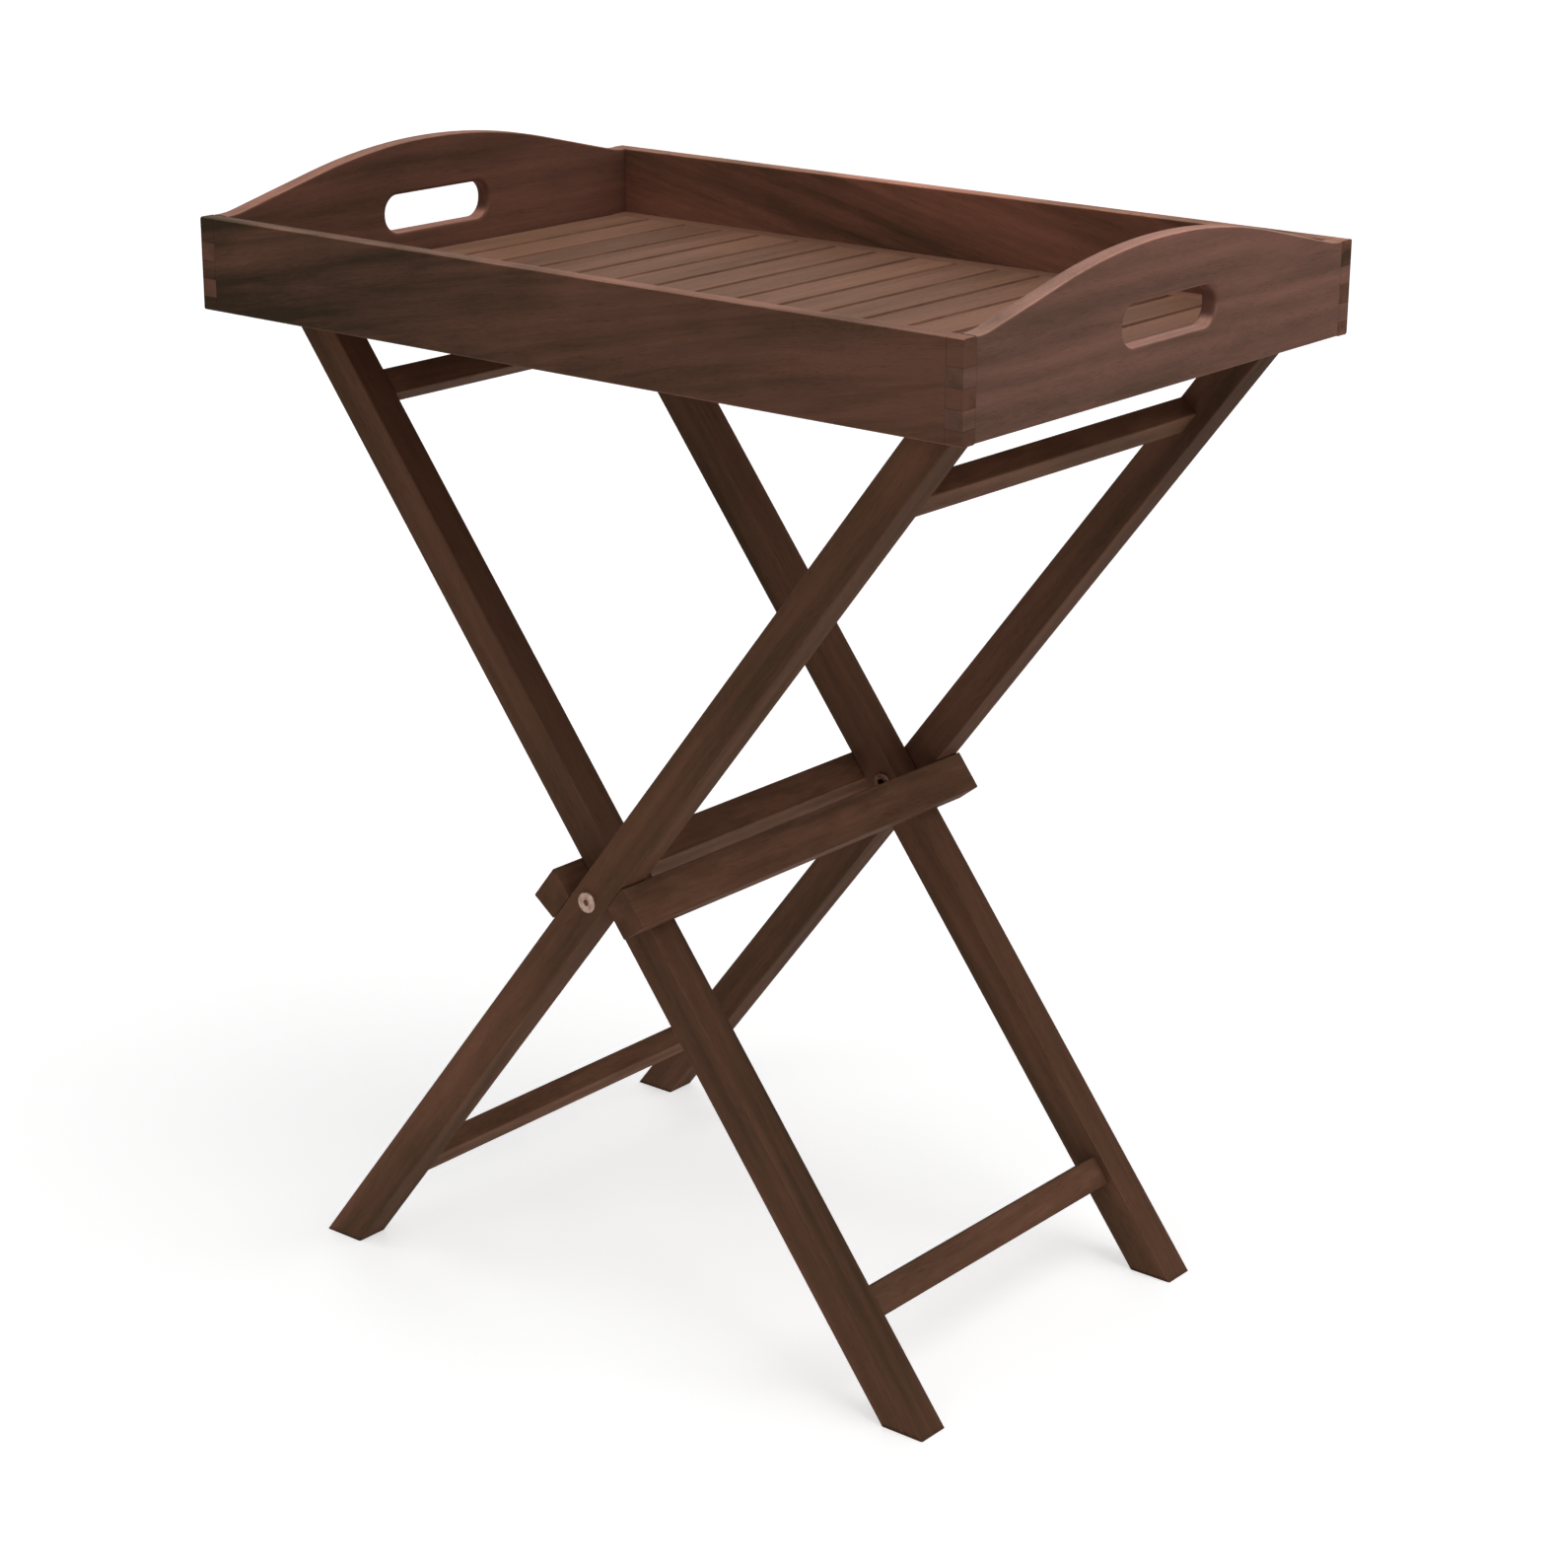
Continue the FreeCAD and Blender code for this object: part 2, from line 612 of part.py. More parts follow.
def outer_rim(y):
    """A test for the rim of a head, the circle at a distance along the axis."""
    radius = value("Dims.head_radius")

    def test(edge):
        if edge.Curve.TypeId != "Part::GeomCircle":
            return False
        same_radius = abs(edge.Curve.Radius - radius) < SAME_PLACE
        return same_radius and abs(edge.CenterOfMass.y - y) < SAME_PLACE
    return test


def pivot_bolts():
    """Connector bolts: a flat round head on each outer leg, with a hexagon socket."""
    body = new_body("pivot_bolt_front")
    turned(body, [("0", "-Dims.head_thick"), ("Dims.head_radius", "-Dims.head_thick"),
                  ("Dims.head_radius", "0"), ("Dims.shank_radius", "0"),
                  ("Dims.shank_radius", "Dims.shank_length"), ("0", "Dims.shank_length")])
    round_edges(body, "Dims.head_round", outer_rim(-value("Dims.head_thick")))
    sketch = sketch_on(body, "XZ_Plane", raised_by="Dims.head_thick")
    corner = "(Dims.socket_flats / 2 / cos(30))"
    polygon(sketch, [(f"{corner} * cos({60 * i})", f"{corner} * sin({60 * i})") for i in range(6)])
    pocket(body, sketch, "Dims.socket_depth")
    at_pivot(body, "-Dims.stand_width / 2")
    mirrored_pair("pivot_bolts", body)


def pivot_nuts():
    """Sleeve nuts: a head on each inner leg's inner face and a sleeve through both legs."""
    body = new_body("pivot_nut_front")
    through = "(2 * Dims.leg_thick + Dims.frame_gap)"
    bore = "(Dims.shank_radius + Dims.pivot_clearance)"
    turned(body, [(bore, "-Dims.tenon_gap * 2"), ("Dims.sleeve_radius", "-Dims.tenon_gap * 2"),
                  ("Dims.sleeve_radius", f"-{through}"), ("Dims.head_radius", f"-{through}"),
                  ("Dims.head_radius", f"-{through} - Dims.head_thick"),
                  (bore, f"-{through} - Dims.head_thick")])
    round_edges(body, "Dims.head_round", outer_rim(-value(f"{through} + Dims.head_thick")))
    body.Placement.Rotation = Rotation(Vector(0, 0, 1), 180)
    at_pivot(body, "-Dims.stand_width / 2")
    mirrored_pair("pivot_nuts", body)


def pivot_washers():
    """A flat washer in the gap between each outer and inner leg."""
    body = new_body("pivot_washer_front")
    thick = "(Dims.frame_gap - Dims.washer_gap)"
    sketch = sketch_on(body, "XZ_Plane")
    circle(sketch, "0", "0", "Dims.washer_radius")
    circle(sketch, "0", "0", BORE_RADIUS)
    pad(body, sketch, thick)
    at_pivot(body, f"-Dims.stand_width / 2 + Dims.leg_thick + {thick} / 2")
    mirrored_pair("pivot_washers", body)


# ---------------------------------------------------------------- the whole table


def build_tray():
    long_board("tray_front_board", -1)
    long_board("tray_rear_board", 1)
    end_board("tray_left_board", -1)
    end_board("tray_right_board", 1)
    deck_rail("deck_rail_front", -1)
    deck_rail("deck_rail_rear", 1)
    for number in range(int(value("Dims.slat_count"))):
        slat(number)


def build_frame(name, lean):
    leg(f"{name}_leg_front", lean, -1)
    leg(f"{name}_leg_rear", lean, 1)
    cross_rail(f"{name}_top_rail", lean, top_rail_section)
    cross_rail(f"{name}_foot_rung", lean, foot_rung_section)
    stop_rail(f"{name}_stop_rail", lean)
    stop_dowels(f"{name}_stop_dowels", lean)


def check_document():
    """Stop if an object failed, or a sub-part isn't sound."""
    for item in doc.Objects:
        if {"Invalid", "Error"} & set(item.State):
            raise RuntimeError(f"{item.Name} failed: {item.State}")
    for part in sub_parts:
        shape = part.Shape
        if shape.isNull() or not shape.isValid() or not shape.Solids:
            raise RuntimeError(f"{part.Label} has no sound solid")


def write_parts():
    os.makedirs("parts", exist_ok=True)
    for part in sub_parts:
        part.Shape.exportStep(f"parts/{part.Label}.step")


build_tray()
build_frame("outer", 1)
build_frame("inner", -1)
pivot_bolts()
pivot_nuts()
pivot_washers()
doc.recompute()
check_document()
write_parts()
for sub_part in sub_parts:
    solids = len(sub_part.Shape.Solids)
    print(f"{sub_part.Label}: {sub_part.Shape.Volume / 1000:.1f} cm3, {solids} solid(s)")
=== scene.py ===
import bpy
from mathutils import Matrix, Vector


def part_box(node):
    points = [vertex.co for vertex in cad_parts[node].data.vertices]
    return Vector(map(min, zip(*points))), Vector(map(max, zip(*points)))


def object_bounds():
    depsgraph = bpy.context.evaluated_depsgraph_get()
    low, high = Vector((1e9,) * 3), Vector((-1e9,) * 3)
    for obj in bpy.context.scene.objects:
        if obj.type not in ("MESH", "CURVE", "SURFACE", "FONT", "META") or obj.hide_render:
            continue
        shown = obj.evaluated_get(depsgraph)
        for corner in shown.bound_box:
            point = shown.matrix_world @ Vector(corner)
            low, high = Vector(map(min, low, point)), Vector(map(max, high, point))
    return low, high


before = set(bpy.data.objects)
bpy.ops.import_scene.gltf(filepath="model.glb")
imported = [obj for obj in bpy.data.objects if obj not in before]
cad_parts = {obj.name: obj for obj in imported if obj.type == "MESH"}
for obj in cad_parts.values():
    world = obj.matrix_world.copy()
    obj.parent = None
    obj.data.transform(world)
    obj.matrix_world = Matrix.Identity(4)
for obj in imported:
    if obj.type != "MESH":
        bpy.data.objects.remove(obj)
cad_box = [list(corner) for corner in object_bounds()]

# A folding tray table in dark stained hardwood, on a white studio floor. Every visible piece is a CAD
# node. This file gives each one its own board of solid, procedural wood, or its metal, and sets up the
# studio and the camera. Lengths are in metres.

import math
import random

import bpy
from mathutils import Matrix, Vector

# Camera: seen from the front right and a little above, with a long lens.
CAMERA_AZIMUTH = math.radians(39.0)
CAMERA_ELEVATION = math.radians(18.787)
CAMERA_ROLL = math.radians(0.257)
CAMERA_DISTANCE = 2.329
CAMERA_TARGET = Vector((0.0061, 0.0028, 0.3413))
CAMERA_SENSOR = 36.0
CAMERA_LENS = 79.7

# Studio lights: name, azimuth and elevation that the light comes from, and strength.
# Azimuth 0 is in front of the table, at -Y, and 90 is to its right, at +X.
SUNS = [
    ("front", 0, 22, 0.52),
    ("right_high", 90, 58, 0.78),
    ("right_low", 90, 22, 0.16),
    ("right_behind", 135, 22, 0.50),
    ("left_behind", 225, 30, 0.45),
    ("above", 0, 84, 0.40),
]
SUN_SIZE = math.radians(45)
SKY_STRENGTH = 0.05
BACKDROP_STRENGTH = 1.0
# The lit paper under the table: a wide, weak light that shines up from just above the floor.
GLOW_SIZE = 1.4
GLOW_POWER = 2.2
GLOW_LIFT = 0.002
FLOOR_ALBEDO = 0.86
FLOOR_REACH = 40.0
FLOOR_DROP = 0.0002
# Extra brightness that only the camera sees on the floor, so that it shows almost white.
FLOOR_BURN = 0.57

# Stains, by the first words of a piece's name. The first match counts.
STAINS = [
    ("tray_front", "614538"),
    ("tray_rear", "805848"),
    ("tray_right", "805d51"),
    ("tray_left", "745144"),
    ("deck", "9d7460"),
    ("outer_leg_rear", "644637"),
    ("outer", "624535"),
    ("inner", "5e4233"),
]
# Boards whose colour drifts from one end to the other: change of figure per metre along X, Y and Z.
DRIFTS = {
    "tray_front_board": (1.1, 0.0, 0.0),
    "tray_right_board": (0.0, 0.3, 3.0),
}
# What the stain is multiplied by, in linear red, green and blue. Dark streaks are a little greener than
# the stain, and pale ones a little redder.
DARK_STREAK = (0.44, 0.55, 0.48)
PALE_STREAK = (1.58, 1.46, 1.46)
OPEN_PORE = (0.45, 0.42, 0.42)
END_GRAIN = (0.89, 0.90, 0.90)
# Rounded edges: partly rubbed wear, partly a painted highlight along them.
RUBBED_AND_HIGHLIT_EDGE = (1.85, 1.95, 2.00)
# Upward faces of the tray boards: painted light from above.
PAINTED_TOP_LIGHT = (2.75, 2.90, 3.05)
# Sides and bevels of the deck slats: painted shade in the gaps between them.
PAINTED_GAP_SHADE = (0.50, 0.46, 0.44)
SEAM_COLOUR = "1c110c"
SEAM_WEIGHT = 0.35
# How far each layer swings the stain between dark and pale. All but the fibres follow a board's Figure.
BAND_WEIGHT = 1.0
STREAK_WEIGHT = 0.9
RING_WEIGHT = 0.10
BLOTCH_WEIGHT = 0.30
FIBRE_WEIGHT = 0.45
# Streak strength by kind of piece.
LONG_BOARD_FIGURE = 1.7
DECK_FIGURE = 0.7
PLAIN_FIGURE = 1.0
# How far a piece's stain may stray from its group's.
SLAT_SPREAD = 0.10
PIECE_SPREAD = 0.04
# The oil: a faint warm gloss over shallow pores.
WOOD_ROUGHNESS = 0.60
OIL_GLOSS = 0.05
OIL_TINT = "ffe6d6"
PORE_RELIEF = 0.22
PORE_DEPTH = 0.00015
# Metals: bright colour, tarnished colour and roughness.
BOLT_METAL = ("ecd0bf", "c79a80", 0.40)
WORN_METAL = ("b08a76", "5c4030", 0.50)
LEG_LEAN = math.radians(37.57)
# Streaks on the long boards climb or fall this much across the grain.
BOARD_SLOPE = math.radians(11)
# Finger joints at the tray's corners: height of the lowest finger, step to the next, width of a joint line.
FINGER_LOWEST = 0.0090
FINGER_PITCH = 0.0118
FINGER_LINES = 4
JOINT_LINE = 0.00035
BOARD_THICK = 0.012
LONG_BOARDS = {"tray_front_board": 1, "tray_rear_board": -1}
SEED = 20261118


def colour(code):
    """The linear colour of a six-digit sRGB hex code, with alpha 1."""
    channels = [int(code[i:i + 2], 16) / 255 for i in (0, 2, 4)]
    linear = [c / 12.92 if c <= 0.04045 else ((c + 0.055) / 1.055) ** 2.4 for c in channels]
    return (*linear, 1.0)


class Graph:
    """A node tree with one short call per node, so that a pattern reads like its formula."""

    def __init__(self, tree):
        self.tree = tree

    def node(self, kind, settings=None, **inputs):
        """A new node with properties from settings and inputs by name; an input may be another socket."""
        made = self.tree.nodes.new(kind)
        for key, value in (settings or {}).items():
            setattr(made, key, value)
        for key, value in inputs.items():
            self.feed(made.inputs[key.replace("_", " ")], value)
        return made

    def feed(self, socket, value):
        """Sets an input to a plain value, or links it to a socket."""
        if isinstance(value, bpy.types.NodeSocket):
            self.tree.links.new(value, socket)
        else:
            socket.default_value = value

    def math(self, operation, first, second=0.0, clamp=False):
        made = self.node("ShaderNodeMath", {"operation": operation, "use_clamp": clamp})
        self.feed(made.inputs[0], first)
        self.feed(made.inputs[1], second)
        return made.outputs[0]

    def vector(self, operation, first, second, output=0):
        made = self.node("ShaderNodeVectorMath", {"operation": operation})
        self.feed(made.inputs[0], first)
        self.feed(made.inputs[1], second)
        return made.outputs[output]

    def spread(self, value, low, high, to_low=0.0, to_high=1.0):
        """value mapped smoothly from low..high to to_low..to_high, and held beyond the ends."""
        made = self.node("ShaderNodeMapRange", {"interpolation_type": "SMOOTHSTEP"})
        for index, number in enumerate((value, low, high, to_low, to_high)):
            self.feed(made.inputs[index], number)
        return made.outputs[0]

    def noise(self, place, size, detail=2.0, roughness=0.5, distortion=0.0):
        """Soft noise whose features are size metres long in each direction, from 0 to 1."""
        scaled = self.vector("DIVIDE", place, size)
        return self.node("ShaderNodeTexNoise", Vector=scaled, Scale=1.0, Detail=detail,
                         Roughness=roughness, Distortion=distortion).outputs["Fac"]

    def mix(self, amount, first, second, blend="MIX"):
        made = self.node("ShaderNodeMix", {"data_type": "RGBA", "blend_type": blend, "clamp_factor": True})
        self.feed(made.inputs[0], amount)
        self.feed(made.inputs[6], first)
        self.feed(made.inputs[7], second)
        return made.outputs[2]


def wood_figure():
    """The shared node group: stained hardwood, as a solid pattern in a board's own axes.

    The board's axes have X along the grain. Place is the object coordinate and Facing the object normal.
    Turn rotates them into the board's axes, and Shift picks which part of the tree the board came from.
    Stain is the board's colour, Figure is how strongly its streaks show, and Drift is added to them, so
    that one end is paler than the other."""
    group = bpy.data.node_groups.new("wood_figure", "ShaderNodeTree")
    face = group.interface
    for name in ("Place", "Facing", "Turn", "Shift"):
        face.new_socket(name, in_out="INPUT", socket_type="NodeSocketVector")
    for name in ("Drift", "Figure"):
        face.new_socket(name, in_out="INPUT", socket_type="NodeSocketFloat")
    face.new_socket("Stain", in_out="INPUT", socket_type="NodeSocketColor")
    face.new_socket("Color", in_out="OUTPUT", socket_type="NodeSocketColor")
    for name in ("Roughness", "Height"):
        face.new_socket(name, in_out="OUTPUT", socket_type="NodeSocketFloat")

    g = Graph(group)
    given = g.node("NodeGroupInput").outputs
    board = g.node("ShaderNodeMapping", Vector=given["Place"], Rotation=given["Turn"],
                   Location=given["Shift"]).outputs[0]
    facing = g.node("ShaderNodeMapping", {"vector_type": "VECTOR"}, Vector=given["Facing"],
                    Rotation=given["Turn"]).outputs[0]

    # The tree: fibres that wander slowly, and growth rings about the board's X axis.
    wander = g.noise(board, (0.30, 0.045, 0.045), detail=1.5)
    bend = g.node("ShaderNodeCombineXYZ", Y=g.math("MULTIPLY", wander, 0.030),
                  Z=g.math("MULTIPLY", wander, 0.021)).outputs[0]
    grown = g.vector("ADD", board, bend)
    rings = g.node("ShaderNodeTexWave", {"wave_type": "RINGS", "rings_direction": "X"}, Vector=grown,
                   Scale=22.0, Distortion=2.2, Detail=2.0, Detail_Scale=0.8,
                   Detail_Roughness=0.6).outputs["Fac"]
    streaks = g.noise(grown, (0.22, 0.011, 0.011), detail=3.0, roughness=0.6)
    bands = g.noise(grown, (0.50, 0.040, 0.040), detail=1.0)
    fibres = g.noise(grown, (0.030, 0.0008, 0.0008), detail=3.0, roughness=0.65)
    blotches = g.noise(board, (0.06, 0.035, 0.035), detail=3.0, roughness=0.6)

    # Pores: fine, dark, open lines along the grain, denser in some bands than in others.
    cells = g.vector("DIVIDE", grown, (0.0120, 0.00055, 0.00055))
    nearest = g.node("ShaderNodeTexVoronoi", {"feature": "F1"}, Vector=cells, Scale=1.0,
                     Randomness=1.0).outputs["Distance"]
    crowded = g.spread(g.noise(grown, (0.10, 0.006, 0.006), detail=2.0), 0.35, 0.65, 0.35, 1.0)
    pores = g.math("MULTIPLY", g.spread(nearest, 0.10, 0.42, 1.0, 0.0), crowded)

    swing = g.math("MULTIPLY", g.math("SUBTRACT", fibres, 0.5), FIBRE_WEIGHT)
    layers = ((bands, BAND_WEIGHT), (streaks, STREAK_WEIGHT), (rings, RING_WEIGHT), (blotches, BLOTCH_WEIGHT))
    for layer, weight in layers:
        broad = g.math("MULTIPLY", g.math("SUBTRACT", layer, 0.5), weight)
        swing = g.math("ADD", swing, g.math("MULTIPLY", broad, given["Figure"]))
    value = g.math("ADD", g.math("ADD", swing, given["Drift"]), 0.5, clamp=True)
    dark = g.vector("MULTIPLY", given["Stain"], DARK_STREAK)
    pale = g.vector("MULTIPLY", given["Stain"], PALE_STREAK)
    stained = g.mix(value, dark, pale)
    deep = g.vector("MULTIPLY", stained, OPEN_PORE)
    stained = g.mix(g.math("MULTIPLY", pores, 0.55), stained, deep)

    # End grain drinks more stain. Rounded edges are made paler in patches: partly rubbed wear, partly a
    # painted highlight along them.
    split = g.node("ShaderNodeSeparateXYZ", Vector=g.vector("ABSOLUTE", facing, (0, 0, 0))).outputs
    end_grain = g.spread(split[0], 0.55, 0.85)
    soaked = g.vector("MULTIPLY", stained, END_GRAIN)
    stained = g.mix(end_grain, stained, soaked)
    flattest = g.math("MAXIMUM", g.math("MAXIMUM", split[0], split[1]), split[2])
    edge_wear_and_highlight = g.spread(flattest, 0.76, 0.97, 1.0, 0.0)
    patchy = g.spread(g.noise(board, (0.05, 0.012, 0.012), detail=3.0), 0.40, 0.65, 0.25, 1.0)
    worn_and_highlit = g.vector("MULTIPLY", stained, RUBBED_AND_HIGHLIT_EDGE)
    stained = g.mix(g.math("MULTIPLY", g.math("MULTIPLY", edge_wear_and_highlight, patchy), 0.45), stained, worn_and_highlit)

    rough = g.math("ADD", WOOD_ROUGHNESS, g.math("MULTIPLY", g.math("SUBTRACT", fibres, 0.5), 0.25))
    rough = g.math("ADD", rough, g.math("MULTIPLY", pores, 0.15))
    rough = g.math("ADD", rough, g.math("MULTIPLY", end_grain, 0.12), clamp=True)
    height = g.math("SUBTRACT", g.math("MULTIPLY", fibres, 0.6), pores)
    g.node("NodeGroupOutput", Color=stained, Roughness=rough, Height=height)
    return group


def joint_lines(g, place, long_axis):
    """How much of a joint line shows: 1 on the glued seams between the fingers at a board's ends.

    long_axis is the board's own length, 0 for X or 1 for Y."""
    low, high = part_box("tray_front_board" if long_axis == 0 else "tray_left_board")
    split = g.node("ShaderNodeSeparateXYZ", Vector=place).outputs
    from_end = g.math("SUBTRACT", high[long_axis], g.math("ABSOLUTE", split[long_axis]))
    seam = g.math("ABSOLUTE", g.math("SUBTRACT", from_end, BOARD_THICK))
    above = g.math("SUBTRACT", split[2], low[2])
    for number in range(FINGER_LINES):
        height = FINGER_LOWEST + FINGER_PITCH * number
        gap = g.math("ABSOLUTE", g.math("SUBTRACT", above, height))
        seam = g.math("MINIMUM", seam, gap)
    on_line = g.spread(seam, JOINT_LINE * 0.4, JOINT_LINE, 1.0, 0.0)
    at_corner = g.math("LESS_THAN", from_end, BOARD_THICK + JOINT_LINE)
    return g.math("MULTIPLY", on_line, at_corner)


def drift_along(g, place, name):
    """How far a board's colour has drifted at a place, from its middle."""
    low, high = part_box(name)
    from_middle = g.vector("SUBTRACT", place, (low + high) / 2)
    return g.vector("DOT_PRODUCT", from_middle, DRIFTS.get(name, (0.0, 0.0, 0.0)), output="Value")


def figure_of(name):
    """How strongly a piece's streaks show: most on the long boards, least on the deck."""
    if name in LONG_BOARDS:
        return LONG_BOARD_FIGURE
    return DECK_FIGURE if name.startswith("deck") else PLAIN_FIGURE


def wood_material(name, turn, shift, stain):
    """One board's material: the shared figure in that board's axes, under a thin satin oil."""
    material = bpy.data.materials.new("wood_" + name)
    material.use_nodes = True
    material.node_tree.nodes.clear()
    g = Graph(material.node_tree)
    coordinates = g.node("ShaderNodeTexCoord").outputs
    place = coordinates["Object"]
    figured = g.node("ShaderNodeGroup", {"node_tree": FIGURE}, Place=place, Facing=coordinates["Normal"],
                     Turn=turn, Shift=shift, Drift=drift_along(g, place, name), Stain=stain,
                     Figure=figure_of(name)).outputs
    shade = figured["Color"]
    upward = g.node("ShaderNodeSeparateXYZ", Vector=coordinates["Normal"]).outputs[2]
    if name.startswith("tray_"):
        lines = joint_lines(g, place, 0 if name in LONG_BOARDS else 1)
        shade = g.mix(g.math("MULTIPLY", lines, SEAM_WEIGHT), shade, colour(SEAM_COLOUR))
        # The upward faces of the tray boards are painted paler than their sides: painted light from above.
        top_lit = g.vector("MULTIPLY", shade, PAINTED_TOP_LIGHT)
        shade = g.mix(g.spread(upward, 0.45, 0.90), shade, top_lit)
    elif name.startswith("deck_slat"):
        # The slats' sides and bevels, down in the gaps, are painted darker: painted shade between the slats.
        gap_shaded = g.vector("MULTIPLY", shade, PAINTED_GAP_SHADE)
        shade = g.mix(g.spread(upward, 0.66, 0.92), gap_shaded, shade)
    relief = g.node("ShaderNodeBump", Height=figured["Height"], Strength=PORE_RELIEF,
                    Distance=PORE_DEPTH).outputs[0]
    shader = g.node("ShaderNodeBsdfPrincipled", Base_Color=shade, Roughness=figured["Roughness"],
                    Normal=relief)
    shader.inputs["Specular IOR Level"].default_value = OIL_GLOSS
    shader.inputs["Specular Tint"].default_value = colour(OIL_TINT)
    g.node("ShaderNodeOutputMaterial", Surface=shader.outputs[0])
    return material


def metal_material(name, bright, dull, roughness):
    """Turned, copper-coloured metal with fine turning marks; bright and dull are hex colour codes."""
    material = bpy.data.materials.new(name)
    material.use_nodes = True
    material.node_tree.nodes.clear()
    g = Graph(material.node_tree)
    place = g.node("ShaderNodeTexCoord").outputs["Object"]
    tarnish = g.spread(g.noise(place, (0.004, 0.004, 0.004), detail=4.0, roughness=0.65), 0.35, 0.70)
    marks = g.noise(place, (0.0004, 0.003, 0.0004), detail=2.0)
    shade = g.mix(tarnish, colour(bright), colour(dull))
    rough = g.math("ADD", roughness, g.math("MULTIPLY", tarnish, 0.15))
    relief = g.node("ShaderNodeBump", Height=marks, Strength=0.10, Distance=0.0001).outputs[0]
    shader = g.node("ShaderNodeBsdfPrincipled", Base_Color=shade, Roughness=rough, Normal=relief)
    shader.inputs["Metallic"].default_value = 1.0
    g.node("ShaderNodeOutputMaterial", Surface=shader.outputs[0])
    return material


def dress(node, material):
    """Gives a CAD node one material in every slot."""
    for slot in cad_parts[node].material_slots:
        slot.material = material


def stain_of(name, chance):
    """A piece's stain: its group's colour, a little paler or darker than its neighbours'."""
    code = next(code for start, code in STAINS if name.startswith(start))
    spread = SLAT_SPREAD if name.startswith("deck_slat") else PIECE_SPREAD
    tone = 1 + chance.uniform(-spread, spread)
    red, green, blue, _ = colour(code)
    return (red * tone, green * tone, blue * tone, 1.0)


def dress_wood():
    """Gives every wooden node a board of its own, with the grain along the piece."""
    chance = random.Random(SEED)
    for name in sorted(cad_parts):
        if name.startswith("pivot"):
            continue
        shift = [chance.uniform(-3.0, 3.0) for _ in range(3)]
        turn = (0.0, 0.0, -math.pi / 2)
        if name in LONG_BOARDS:
            turn = (0.0, LONG_BOARDS[name] * BOARD_SLOPE, 0.0)
        elif "_leg_" in name:
            side = 1 if name.startswith("outer") else -1
            turn = (0.0, math.pi / 2 - side * LEG_LEAN, 0.0)
        elif name.startswith("deck_rail"):
            turn = (0.0, 0.0, 0.0)
        dress(name, wood_material(name, turn, shift, stain_of(name, chance)))


def add_sun(name, azimuth, elevation, strength):
    """A broad, soft light from far away, so that the whole floor is lit evenly."""
    data = bpy.data.lights.new(name, "SUN")
    data.energy = strength
    data.angle = SUN_SIZE
    lamp = bpy.data.objects.new(name, data)
    around, up = math.radians(azimuth), math.radians(elevation)
    source = Vector((math.sin(around) * math.cos(up), -math.cos(around) * math.cos(up), math.sin(up)))
    lamp.rotation_euler = source.to_track_quat("Z", "Y").to_euler()
    bpy.context.scene.collection.objects.link(lamp)


def add_glow():
    """Light that the lit paper under the table throws back up, seen by no camera or reflection."""
    data = bpy.data.lights.new("floor_glow", "AREA")
    data.shape = "DISK"
    data.size = GLOW_SIZE
    data.energy = GLOW_POWER
    lamp = bpy.data.objects.new("floor_glow", data)
    lamp.location.z = cad_box[0][2] + GLOW_LIFT
    lamp.rotation_euler.x = math.pi
    lamp.visible_camera = False
    lamp.visible_glossy = False
    bpy.context.scene.collection.objects.link(lamp)


def add_sky():
    """Even light from all round, with a white backdrop where the camera looks past the floor."""
    world = bpy.data.worlds.new("studio")
    world.use_nodes = True
    world.node_tree.nodes.clear()
    g = Graph(world.node_tree)
    seen = g.node("ShaderNodeLightPath").outputs["Is Camera Ray"]
    light = g.node("ShaderNodeBackground", Color=(1.0, 1.0, 1.0, 1.0), Strength=SKY_STRENGTH).outputs[0]
    paper = g.node("ShaderNodeBackground", Color=(1.0, 1.0, 1.0, 1.0), Strength=BACKDROP_STRENGTH).outputs[0]
    both = g.node("ShaderNodeMixShader", Fac=seen)
    g.feed(both.inputs[1], light)
    g.feed(both.inputs[2], paper)
    g.node("ShaderNodeOutputWorld", Surface=both.outputs[0])
    bpy.context.scene.world = world


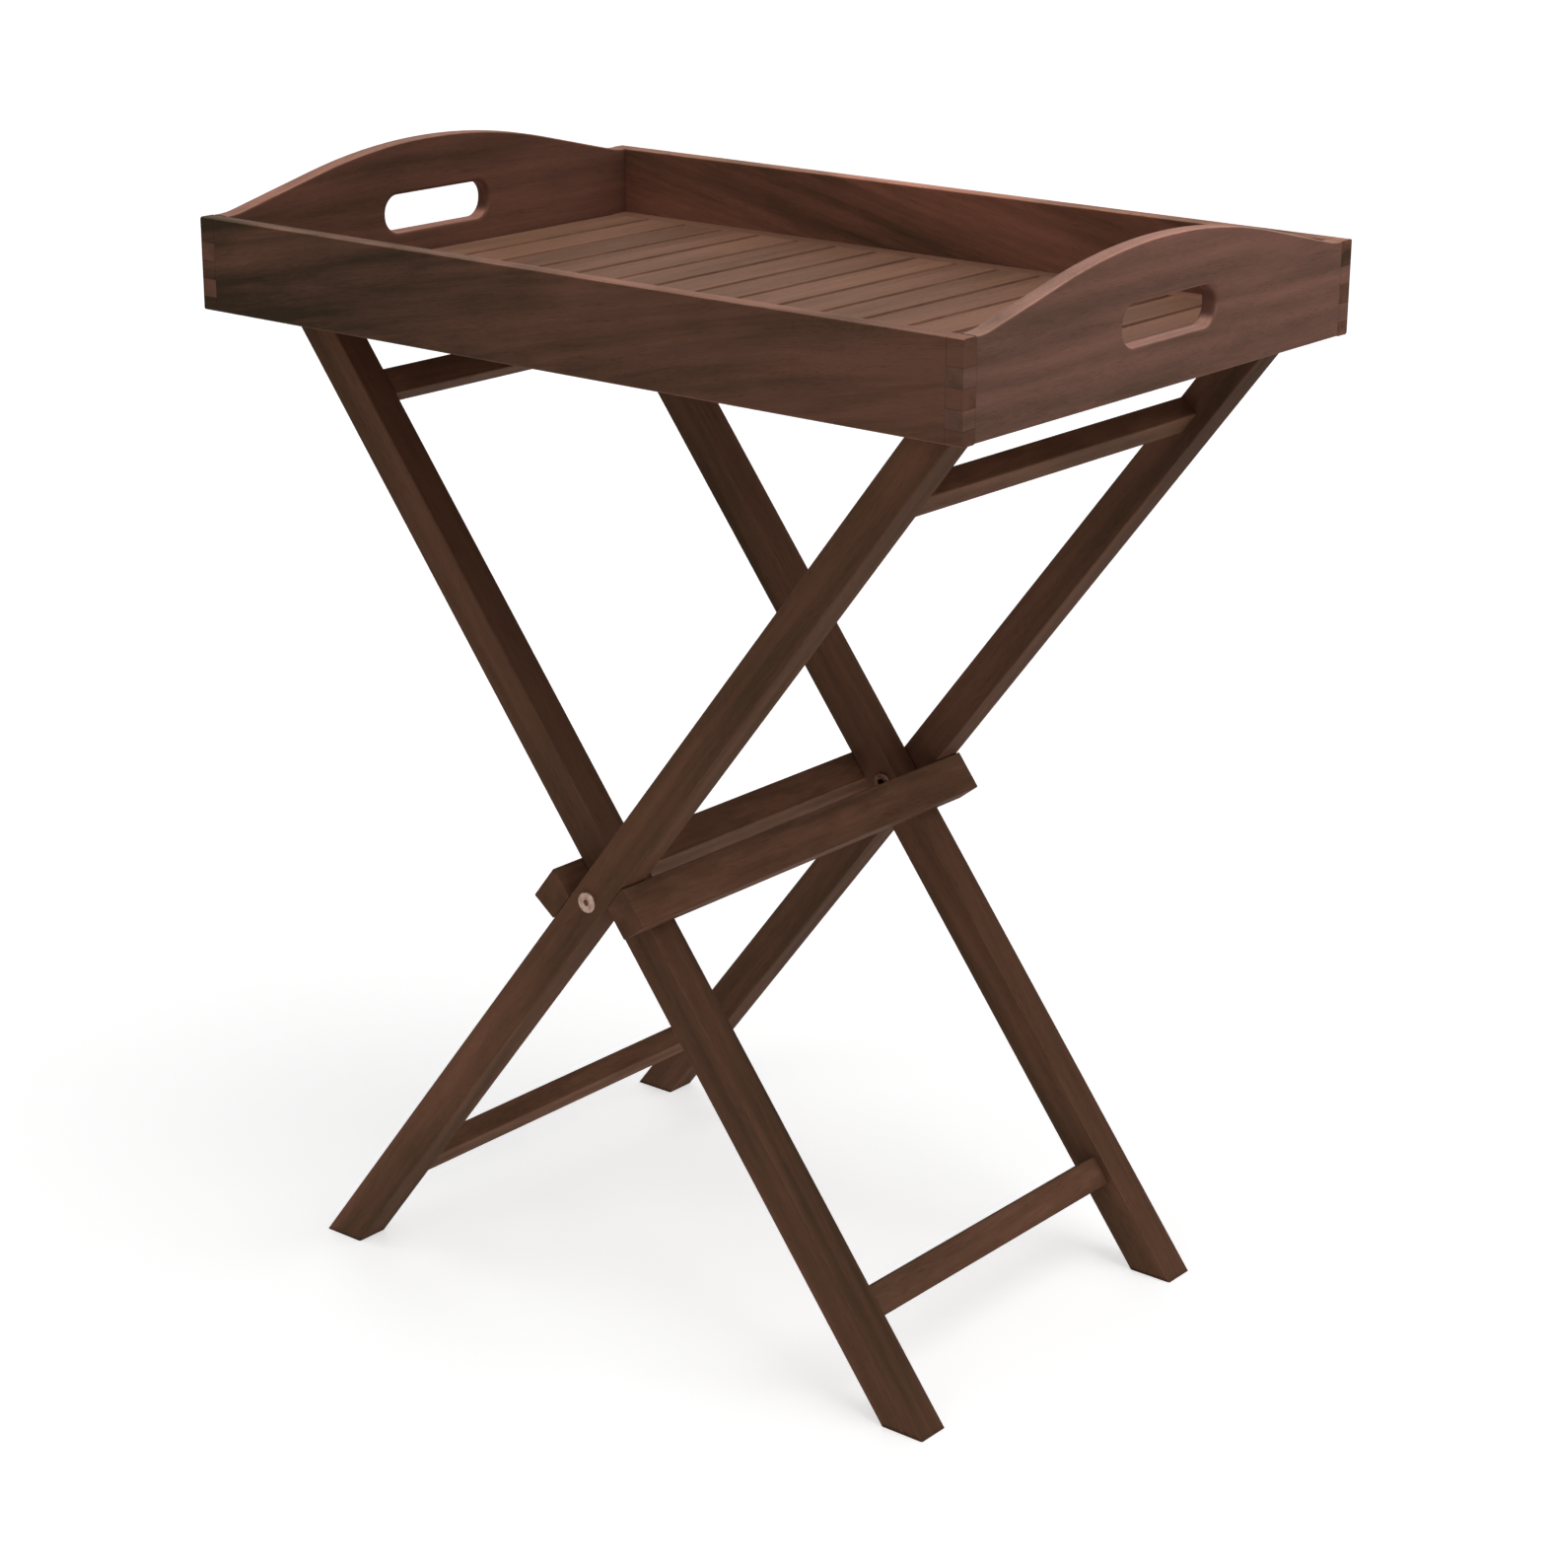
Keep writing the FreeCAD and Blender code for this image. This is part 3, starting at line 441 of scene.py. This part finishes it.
def add_floor():
    """A wide white floor, just under the feet."""
    half = FLOOR_REACH
    mesh = bpy.data.meshes.new("floor")
    corners = [(-half, -half, 0), (half, -half, 0), (half, half, 0), (-half, half, 0)]
    mesh.from_pydata(corners, [], [(0, 1, 2, 3)])
    floor = bpy.data.objects.new("floor", mesh)
    floor.location.z = cad_box[0][2] - FLOOR_DROP
    bpy.context.scene.collection.objects.link(floor)
    material = bpy.data.materials.new("floor_white")
    material.use_nodes = True
    shader = material.node_tree.nodes["Principled BSDF"]
    shader.inputs["Base Color"].default_value = (FLOOR_ALBEDO, FLOOR_ALBEDO, FLOOR_ALBEDO, 1.0)
    shader.inputs["Roughness"].default_value = 0.9
    shader.inputs["Specular IOR Level"].default_value = 0.1
    shader.inputs["Emission Color"].default_value = (1.0, 1.0, 1.0, 1.0)
    g = Graph(material.node_tree)
    seen = g.node("ShaderNodeLightPath").outputs["Is Camera Ray"]
    g.feed(shader.inputs["Emission Strength"], g.math("MULTIPLY", seen, FLOOR_BURN))
    mesh.materials.append(material)


def add_camera():
    """Looks at the table from the front right, a little above it."""
    around, up = CAMERA_AZIMUTH, CAMERA_ELEVATION
    back = Vector((math.sin(around) * math.cos(up), -math.cos(around) * math.cos(up), math.sin(up)))
    right = Vector((math.cos(around), math.sin(around), 0.0))
    above = back.cross(right)
    across = math.cos(CAMERA_ROLL) * right + math.sin(CAMERA_ROLL) * above
    upright = math.cos(CAMERA_ROLL) * above - math.sin(CAMERA_ROLL) * right
    data = bpy.data.cameras.new("camera")
    data.sensor_width = CAMERA_SENSOR
    data.lens = CAMERA_LENS
    camera = bpy.data.objects.new("camera", data)
    camera.matrix_world = Matrix.Translation(CAMERA_TARGET + back * CAMERA_DISTANCE) @ Matrix(
        (across, upright, back)).transposed().to_4x4()
    bpy.context.scene.collection.objects.link(camera)
    bpy.context.scene.camera = camera


FIGURE = wood_figure()
dress_wood()
dress("pivot_bolts", metal_material("bolt_metal", *BOLT_METAL))
worn_metal = metal_material("worn_metal", *WORN_METAL)
for hardware in ("pivot_nuts", "pivot_washers"):
    dress(hardware, worn_metal)
for sun in SUNS:
    add_sun(*sun)
add_glow()
add_sky()
add_floor()
add_camera()
bpy.context.scene.view_settings.view_transform = "Standard"
